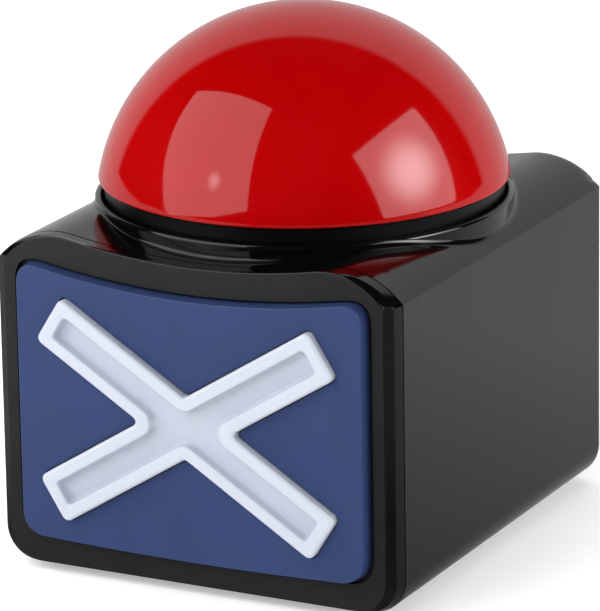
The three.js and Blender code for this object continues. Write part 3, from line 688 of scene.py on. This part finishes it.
def upper_housing():
    shell = Shell()
    edge = case_top(shell)
    lower = shell.loft([upright(lower_outline(), HOUSING_FRONT)] + [
        upright(lower_outline(inset), y) for inset, y in rear_rounding()
    ], closed=False)
    rear_top = sorted((v for v in edge if v.co.y > at(0, HOUSING_REAR - 0.001, 0).y), key=lambda v: -v.co.x)
    shell.cap(lower[-1] + rear_top[1:-1])
    front_top = sorted((v for v in edge if v.co.y < at(0, HOUSING_FRONT + 0.001, 0).y), key=lambda v: -v.co.x)
    shell.cap(lower[0] + front_top[1:-1])
    shell.finish("case_shell", "case", gloss_black, ["upper_housing"])


def narrowed(inset, width, lift):
    """The case's outline squeezed to a width and raised at the bottom, as the bezel is towards its front."""
    top = SHOULDER_Z + SHOULDER_RADIUS
    squeeze = width / (2 * HALF_WIDTH)
    return [(x * squeeze, z + lift * (1 - z / top)) for x, z in body_outline(inset)]


def front_bezel():
    """A satin flat face inside gloss chamfers, with a pocket for the panel and a window for the cross."""
    shell = Shell()
    chamfer_end = BEZEL_FRONT + CHAMFER_DEPTH
    softening = 0.28
    width, lift = BEZEL_EDGE
    loops = [
        upright(body_outline(0.12), BEZEL_BACK), upright(body_outline(), BEZEL_BACK - 0.12),
        upright(narrowed(0, width, lift), chamfer_end + softening),
        upright(narrowed(0.03, width - 0.24, lift), chamfer_end - 0.05),
    ]
    for a in quarter_steps(4):
        inset = softening * (1 - math.cos(a))
        loops.append(upright(narrowed(inset, *BEZEL_FACE), BEZEL_FRONT + softening * (1 - math.sin(a))))
    outer = shell.loft(loops)
    easing = 0.2
    pocket = shell.loft([
        upright(panel_outline(POCKET_GAP_TOP + grow, POCKET_GAP_SIDE + grow), BEZEL_FRONT + depth)
        for grow, depth in ((easing, 0), (easing * 0.3, easing * 0.3), (0, easing), (0, POCKET_DEPTH))
    ])
    window = shell.loft([
        upright(cross_outline(CROSS_HALF_WIDTH + 1.5, CROSS_ARM + 1.5, 1.4, 1), y)
        for y in (BEZEL_FRONT + POCKET_DEPTH, BEZEL_BACK)
    ])
    shell.ring(outer[-1], pocket[0])
    shell.ring(pocket[-1], window[0])
    shell.ring(outer[0], window[-1])
    shell.finish(
        "bezel_frame", "case", [gloss_black, satin_black], ["front_bezel"],
        pick=lambda polygon: int(polygon.normal.y < -0.999),
    )


def front_panel():
    shell = Shell()
    back = BEZEL_FRONT + POCKET_DEPTH - 0.3
    draft = 0.3
    rounding = 0.35
    loops = [upright(panel_outline(), back)]
    for a in quarter_steps(5):
        outline = panel_outline(-draft - rounding * (1 - math.cos(a)))
        loops.append(upright(outline, PANEL_FRONT + rounding * (1 - math.sin(a))))
    outer = shell.loft(loops)
    window = shell.loft([
        upright(cross_outline(CROSS_HALF_WIDTH + 0.25, CROSS_ARM + 0.25, 1.4, 1), y) for y in (PANEL_FRONT, back)
    ])
    shell.ring(outer[-1], window[0])
    shell.ring(outer[0], window[-1])
    shell.finish("panel_face", "case", panel_blue, ["front_panel"])


# The mask for the trough's painted shade: the faces it picks get the darker white.
def in_trough(polygon, deepest_rim):
    """Whether a face of the emblem lies in its trough, given how far back the rim reaches."""
    x, _, z = local(polygon.center)
    half = CROSS_HALF_WIDTH - TROUGH_INSET
    along = [x * math.cos(CROSS_ANGLE) + turn * (z - CROSS_Z) * math.sin(CROSS_ANGLE) for turn in (1, -1)]
    across = [x * math.sin(CROSS_ANGLE) - turn * (z - CROSS_Z) * math.cos(CROSS_ANGLE) for turn in (1, -1)]
    inside = any(abs(u) < CROSS_ARM and abs(v) < half for u, v in zip(along, across))
    return inside and deepest_rim < polygon.center.y < at(0, EMBLEM_FRONT + TROUGH_DEPTH + 0.1, 0).y


def cross_emblem():
    """A raised rim with soft edges round a trough with sloping sides, on a flange behind the panel."""
    shell = Shell()
    soft = 0.7
    flat_end = 2.2
    wall_end = 3.0
    floor_end = 3.5
    depth = TROUGH_DEPTH
    back = BEZEL_FRONT + POCKET_DEPTH
    sections = [(-1.2, BEZEL_BACK - 0.3), (-1.2, back), (0, back)]
    sections += [(soft * (1 - math.cos(a)), EMBLEM_FRONT + soft * (1 - math.sin(a))) for a in quarter_steps(5)]
    for a in quarter_steps(4)[1:]:
        sections.append((flat_end + 0.55 * math.sin(a), EMBLEM_FRONT + 0.5 * (1 - math.cos(a))))
    sections += [(wall_end, EMBLEM_FRONT + 0.8 * depth), (wall_end + 0.25, EMBLEM_FRONT + 0.94 * depth)]
    sections += [(floor_end, EMBLEM_FRONT + depth)]
    loops = []
    for inset, y in sections:
        corner = 1.4 - 0.15 * max(0, inset)
        crotch = 1.0 + 0.75 * max(0, inset)
        loops.append(upright(cross_outline(CROSS_HALF_WIDTH - inset, CROSS_ARM - inset, corner, crotch), y))
    made = shell.loft(loops)
    shell.cap(made[0])
    shell.cap(made[-1])
    trough_y = at(0, EMBLEM_FRONT + 0.6, 0).y
    # Faces in the trough get the darker white: painted shade of the recess.
    shell.finish(
        "cross_emblem_face", "case", [cross_white, trough_painted_shade], ["cross_emblem"], sharp=50,
        pick=lambda polygon: int(in_trough(polygon, trough_y)),
    )


upper_housing()
front_bezel()
front_panel()
cross_emblem()


# ---------------------------------------------------------------- dome


def dome_cap():
    shell = Shell()
    centre = DOME_TOP - DOME_RADIUS
    inner = DOME_RADIUS - DOME_WALL
    start = math.asin((DOME_BASE + 0.5 - centre) / DOME_RADIUS)
    inner_start = math.asin((DOME_BASE - centre) / inner)
    outside = arc(0, centre, DOME_RADIUS, math.pi / 2, start, 56)
    inside = arc(0, centre, inner, inner_start, math.pi / 2, 36)
    outside[0] = (0, centre + DOME_RADIUS)
    inside[-1] = (0, centre + inner)
    edge = DOME_RADIUS * math.cos(start)
    inner_edge = inner * math.cos(inner_start)
    lip = [(edge - 0.06, DOME_BASE + 0.18), (edge - 0.35, DOME_BASE), (inner_edge + 0.4, DOME_BASE)]
    shell.turned(outside + lip + inside, sides=160)
    shell.finish("dome_shell", "dome", dome_red, ["dome_cap"])


def skirt_sleeve():
    """The round black sleeve under the dome, over the carrier's skirt."""
    shell = Shell()
    top = DOME_BASE - 0.3
    bottom = local(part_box("dome_carrier")[0])[2] + SKIRT_ABOVE_LEGS
    outside = SKIRT_RADIUS + 0.04
    inside = SKIRT_RADIUS - 1
    profile = [(inside, bottom), (outside, bottom), (outside, top - 0.3), (outside - 0.3, top), (inside, top)]
    shell.turned(profile + profile[:1], sides=160)
    shell.finish("skirt_sleeve", "dome", inner_black)


dome_cap()
skirt_sleeve()


# ---------------------------------------------------------------- springs, screws, cells and small pieces


def node_box(node):
    low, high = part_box(node)
    return Vector(local(low)), Vector(local(high))


def coil(put, start, end, radii, wire, turns):
    """Points on a wound spring whose first and last turns lie flat."""
    steps = turns * 24
    dead = 1 / turns
    dead_rise = 2.1 * wire
    points = []
    for step in range(steps + 1):
        t = step / steps
        if t < dead:
            rise = dead_rise * t / dead
        elif t > 1 - dead:
            rise = (end - start - 2 * wire) - dead_rise * (1 - t) / dead
        else:
            rise = dead_rise + (end - start - 2 * wire - 2 * dead_rise) * (t - dead) / (1 - 2 * dead)
        radius = radii[0] + (radii[1] - radii[0]) * t
        angle = 2 * math.pi * turns * t
        points.append(put(radius * math.cos(angle), radius * math.sin(angle), start + wire + rise))
    return points


def return_springs():
    """Wound springs that stand on the deck, at the length of their part; the real ones shorten as the dome goes down.
    """
    coil_radius = 4.05
    wire = 0.42
    for index in (1, 2, 3):
        node = f"return_spring_{index}"
        low, high = node_box(node)
        middle = (low + high) / 2
        shell = Shell()
        put = along_z(middle.x, middle.y)
        shell.sweep(coil(put, low.z, high.z, (coil_radius, coil_radius), wire, 5), wire, sides=10)
        piece = shell.finish(f"return_coil_{index}", "case", spring_steel, [node], sharp=60)
        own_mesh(piece)


def battery_springs():
    """Conical springs, wide at the bay's wall and narrow at the cell."""
    radii = (4.1, 3.0)
    wire = 0.35
    for index in (1, 2, 3):
        low, high = node_box(f"battery_spring_{index}")
        middle = (low + high) / 2
        side = math.copysign(1, -middle.x)
        wall, cell = (low.x, high.x) if side > 0 else (-high.x, -low.x)
        shell = Shell()
        shell.sweep(coil(along_x(middle.y, middle.z, side), wall, cell, radii, wire, 4), wire)
        shell.finish(
            f"battery_coil_{index}", "case", spring_steel, [f"battery_spring_{index}"], sharp=60,
        )


def plus_outline(reach, half):
    """A plus sign with its corners in order."""
    quarter = [(reach, -half), (reach, half), (half, half)]
    points = []
    for turn in range(4):
        c, s = round(math.cos(turn * math.pi / 2)), round(math.sin(turn * math.pi / 2))
        points += [(c * u - s * v, s * u + c * v) for u, v in quarter]
    return points


def add_screw(node, body, put, head_radius, length):
    """A pan-head screw with a cross recess; w runs from the outside of its head to its tip."""
    head_height = 1.1
    shank = 1.15
    pitch = 0.8
    shell = Shell()
    profile = [
        (head_radius * 0.72, 0), (head_radius * 0.9, 0.1), (head_radius * 0.98, 0.32), (head_radius, 0.5),
        (head_radius, head_height - 0.08), (head_radius - 0.08, head_height), (shank * 0.85, head_height),
    ]
    turns = int((length - head_height - 1.2) / pitch)
    for turn in range(turns):
        foot = head_height + 0.2 + turn * pitch
        profile += [(shank * 0.82, foot), (shank, foot + pitch * 0.4), (shank, foot + pitch * 0.5)]
    profile += [(shank * 0.8, length - 0.9), (shank * 0.35, length - 0.1), (0, length)]
    rows = shell.turned(profile, put, sides=32)
    mouth = shell.loop([put(u, v, 0) for u, v in plus_outline(head_radius * 0.5, head_radius * 0.11)])
    pit = shell.loop([put(u, v, 0.75) for u, v in plus_outline(head_radius * 0.28, head_radius * 0.09)])
    shell.ring(rows[0], mouth)
    shell.bridge(mouth, pit)
    shell.cap(pit)
    shell.finish(f"{node}_fine", body, steel, [node], sharp=40)


def numbered(name, count):
    return [f"{name}_{index}" for index in range(1, count + 1)]


def screws():
    """Most heads face down; the board's face up and the bezel's face the rear."""
    head_down = numbered("base_screw", 4) + numbered("deck_screw", 4) + numbered("leg_screw", 3) + ["door_screw"]
    bodies = {"leg": "dome", "door": "door"}
    for node in head_down:
        low, high = node_box(node)
        middle = (low + high) / 2
        put = along_z(middle.x, middle.y, low.z)
        add_screw(node, bodies.get(node.split("_")[0], "case"), put, (high.y - low.y) / 2, high.z - low.z)
    for node in numbered("board_screw", 2):
        low, high = node_box(node)
        middle = (low + high) / 2
        put = along_z(middle.x, middle.y, high.z, -1)
        add_screw(node, "case", put, (high.y - low.y) / 2, high.z - low.z)
    for node in numbered("bezel_screw", 4):
        low, high = node_box(node)
        middle = (low + high) / 2
        put = along_minus_y(middle.x, middle.z, high.y)
        add_screw(node, "case", put, (high.z - low.z) / 2, high.y - low.y)


def batteries():
    """AA cells: a wrapped can with a band at the raised terminal, and bare metal at both ends."""
    nub = 1.3
    band = 14
    for index in (1, 2, 3):
        low, high = node_box(f"battery_{index}")
        middle = (low + high) / 2
        radius = (high.z - low.z) / 2
        side = math.copysign(1, middle.x)
        end, terminal = (low.x, high.x) if side > 0 else (-high.x, -low.x)
        can = terminal - nub
        profile = [(0, end + 0.25), (4.6, end + 0.25), (4.9, end), (5.9, end), (6.1, end + 0.2)]
        profile += [(radius - 0.6, end + 0.05), (radius - 0.2, end + 0.15), (radius, end + 0.6)]
        profile += [(radius, can - band), (radius, can - 0.6)]
        profile += [(radius - 0.2, can - 0.15), (radius - 0.6, can), (6.1, can - 0.15), (5.9, can - 0.3), (3.4, can)]
        profile += [(2.7, can + 0.15), (2.6, terminal - 0.25), (2.35, terminal), (0, terminal)]
        shell = Shell()
        shell.turned(profile, along_x(middle.y, middle.z, side), sides=64)

        def wrap(polygon, y=middle.y, z=middle.z, side=side, can=can, radius=radius):
            centre = local(polygon.center)
            if math.hypot(centre[1] - y, centre[2] - z) < radius - 1:
                return 2
            return int(side * centre[0] > can - band)

        shell.finish(
            f"cell_{index}", "case", [cell_black, cell_gold, steel], [f"battery_{index}"], sharp=40,
            pick=wrap,
        )


def feet():
    for index in (1, 2, 3, 4):
        low, high = node_box(f"foot_{index}")
        middle = (low + high) / 2
        radius = (high.x - low.x) / 2
        profile = [(0, low.z + 0.12), (radius - 1.1, low.z + 0.12), (radius - 0.8, low.z), (radius - 0.5, low.z)]
        profile += [(radius - 0.12, low.z + 0.2), (radius, low.z + 0.55), (radius, high.z), (0, high.z)]
        shell = Shell()
        shell.turned(profile, along_z(middle.x, middle.y), sides=64)
        shell.finish(f"rubber_foot_{index}", "case", rubber, [f"foot_{index}"])


def leds():
    for index in (1, 2, 3):
        low, high = node_box(f"dome_led_{index}")
        middle = (low + high) / 2
        radius = 2.35
        shoulder = high.z - radius - 0.1
        profile = [(0, low.z), (2.5, low.z), (2.5, low.z + 0.9), (radius, low.z + 0.9), (radius, shoulder)]
        profile += [(radius * math.cos(a), shoulder + radius * math.sin(a)) for a in quarter_steps(8)[1:-1]]
        shell = Shell()
        shell.turned(profile + [(0, shoulder + radius)], along_z(middle.x, middle.y), sides=32)
        shell.finish(f"led_{index}", "case", clear_led, [f"dome_led_{index}"])


def capacitor():
    low, high = node_box("capacitor")
    middle = (low + high) / 2
    radius = 3.95
    groove = low.z + 1.6
    profile = [(0, low.z), (radius - 0.3, low.z), (radius, low.z + 0.3), (radius, groove - 0.5)]
    profile += [(radius - 0.45, groove), (radius, groove + 0.5), (radius, high.z - 0.4), (radius - 0.35, high.z)]
    profile += [(radius - 0.9, high.z), (radius - 1, high.z - 0.15), (0, high.z - 0.15)]
    shell = Shell()
    shell.turned(profile, along_z(middle.x, middle.y), sides=48)
    shell.finish("capacitor_can", "case", capacitor_blue, ["capacitor"])


def loudspeaker():
    """Basket, magnet and paper cone, turned about one axis."""
    low, high = node_box("speaker_basket")
    middle = (low + high) / 2
    put = along_z(middle.x, middle.y)
    rim = (high.y - low.y) / 2
    foot, top = low.z, high.z
    basket = [(16.2, foot), (rim, foot), (rim, foot + 2.1), (rim - 0.6, foot + 2.4), (10.4, top - 0.1)]
    basket += [(9.8, top), (6, top), (6, top - 1), (9.4, top - 1), (16.2, foot + 2), (16.2, foot)]
    shell = Shell()
    shell.turned(basket, put, sides=72)
    shell.finish("basket", "case", speaker_steel, ["speaker_basket"])
    low, high = node_box("speaker_magnet")
    magnet = [(0, low.z), (7.7, low.z), (8, low.z + 0.3), (8, high.z - 0.3), (7.7, high.z), (5.5, high.z)]
    magnet += [(5.2, high.z - 0.3), (0, high.z - 0.3)]
    shell = Shell()
    shell.turned(magnet, put, sides=72)
    shell.finish("magnet", "case", magnet_grey, ["speaker_magnet"])
    low, high = node_box("speaker_cone")
    foot = low.z
    cone = [(0, foot + 1.7), (2.6, foot + 2), (4.2, foot + 2.5), (4.6, foot + 2.2), (14.2, foot + 0.15)]
    cone += [(14.6, foot), (15.1, foot + 0.2), (15.6, foot), (15.6, foot + 0.5), (14.7, foot + 0.7), (4.6, foot + 3.1)]
    cone += [(4.6, high.z), (4, high.z), (4, foot + 3.1), (2.4, foot + 2.6), (0, foot + 2.3)]
    shell = Shell()
    shell.turned(cone, put, sides=72)
    shell.finish("paper_cone", "cone", paper_cone, ["speaker_cone"])


return_springs()
battery_springs()
screws()
batteries()
feet()
leds()
capacitor()
loudspeaker()


# ---------------------------------------------------------------- finishes of the pieces that keep their shape

KEPT = {
    "dome_carrier": inner_black, "button_deck": inner_black, "dome_led_board": board_green,
    "press_switch_body": inner_black, "press_switch_plunger": white_acetal, "main_board": board_green,
    "sound_chip": inner_black, "deck_lead": lead_red, "speaker_lead": lead_black, "battery_lead": lead_red,
    "base_plate": satin_black, "battery_door": satin_black, "power_switch_body": speaker_steel,
    "power_switch_knob": inner_black,
    "battery_contact_1": steel, "battery_contact_2": steel, "battery_contact_3": steel,
}
for node, material in KEPT.items():
    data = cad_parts[node].data
    data.materials.clear()
    data.materials.append(material)
